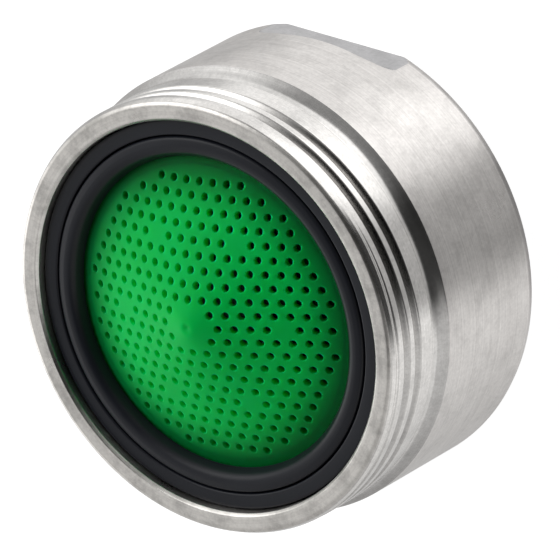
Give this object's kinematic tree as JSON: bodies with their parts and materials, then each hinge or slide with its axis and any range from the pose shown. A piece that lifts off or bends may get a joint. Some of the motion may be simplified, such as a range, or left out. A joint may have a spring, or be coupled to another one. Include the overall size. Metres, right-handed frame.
{
  "type": "tap aerator",
  "caption": "Round stainless steel tap aerator with an external thread, a green conical strainer at the inlet and a concentric grey grid at the outlet.",
  "frame": {"origin": "centre of the outlet face, on the surface that the aerator stands on", "axes": "+Z along the water's axis from the outlet to the threaded inlet, +Y out of one wrench flat"},
  "size_m": [0.0247, 0.0246, 0.0141],
  "materials": {
    "steel": "turned, satin",
    "black_plastic": "moulded, satin",
    "green_plastic": "moulded, slightly translucent",
    "grey_plastic": "moulded, satin"
  },
  "bodies": {
    "root": {"housing": "steel", "core_body": "black_plastic", "jet_cup": "black_plastic", "strainer": "green_plastic", "mixer_plate": "grey_plastic", "outlet_grid": "grey_plastic"}
  },
  "joints": []
}
